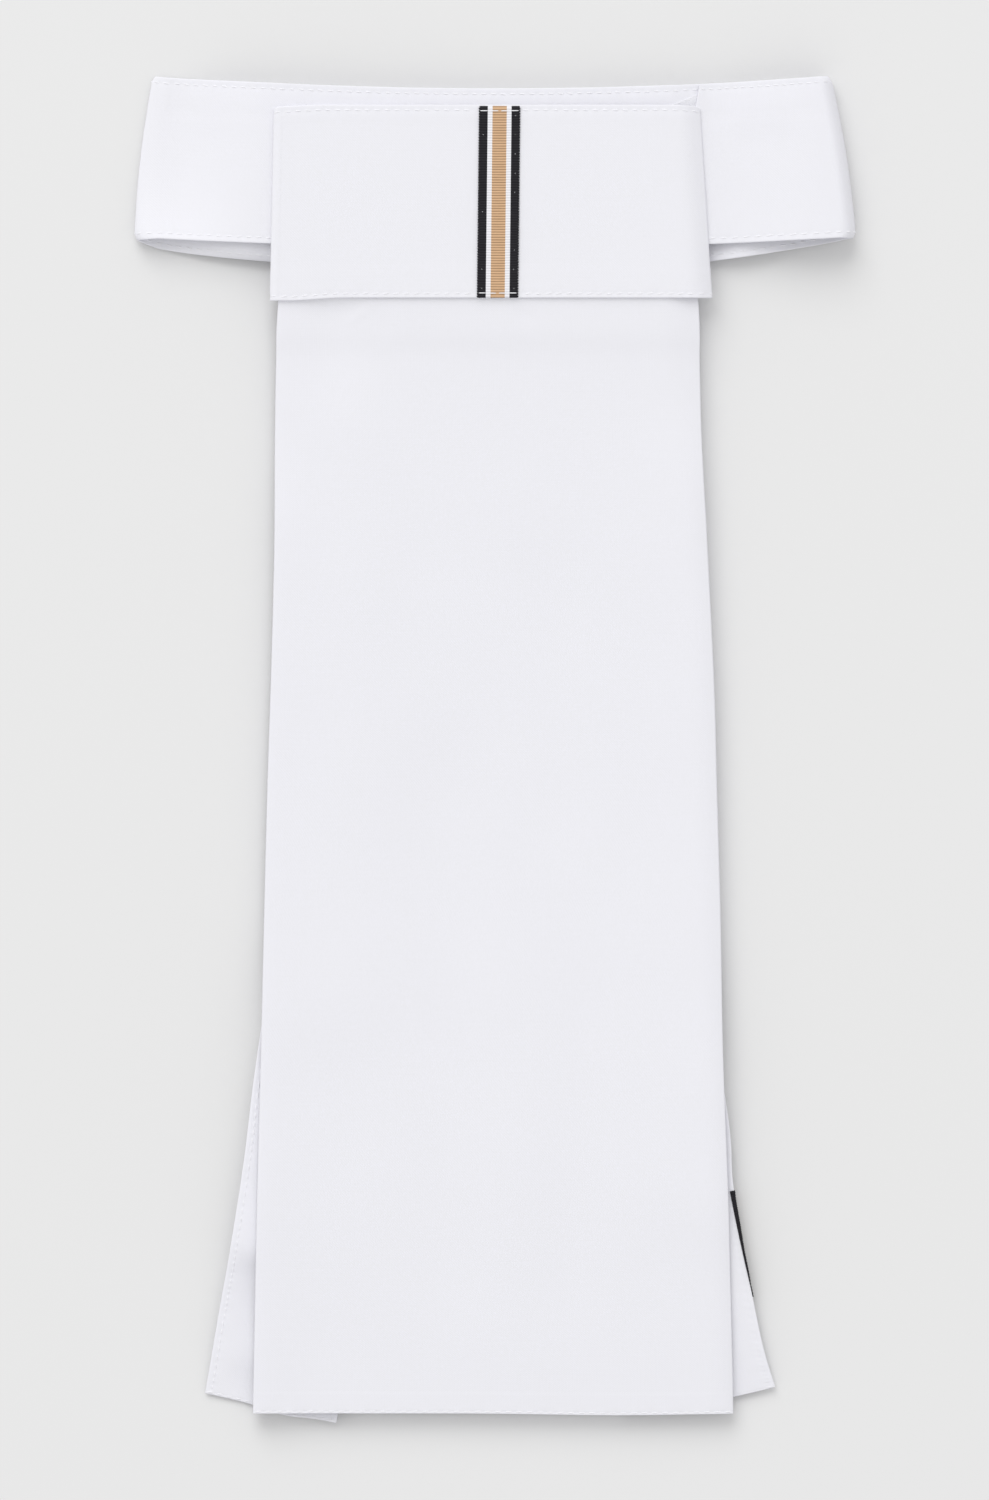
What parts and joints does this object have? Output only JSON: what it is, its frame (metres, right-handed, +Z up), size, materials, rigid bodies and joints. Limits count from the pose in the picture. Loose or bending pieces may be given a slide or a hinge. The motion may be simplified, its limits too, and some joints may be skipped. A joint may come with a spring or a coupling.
{
  "type": "cravat",
  "caption": "White cotton cravat lying flat: a closed neckband, a wide folded knot band with a striped ribbon, a long front panel and a pair of rear tails.",
  "frame": {"origin": "on the ground that the cravat lies on, in the middle of its outline seen from above", "axes": "+X to the right and +Y from the hem up to the neckband, as seen from above; +Z up from the ground, towards the knot band's face"},
  "size_m": [0.2021, 0.3772, 0.014],
  "materials": {
    "white_cotton": "matte fine plain weave, pressed, edge-stitched in white",
    "striped_ribbon": "ribbed grosgrain",
    "fastening_tape": "short matte pile"
  },
  "bodies": {
    "root": {"neckband": "white_cotton", "closure_patch": "fastening_tape", "knot_band": "white_cotton", "knot_ribbon": "striped_ribbon", "front_panel": "white_cotton", "tail_left": "white_cotton", "tail_right": "white_cotton", "tail_ribbon": "striped_ribbon"}
  },
  "joints": []
}
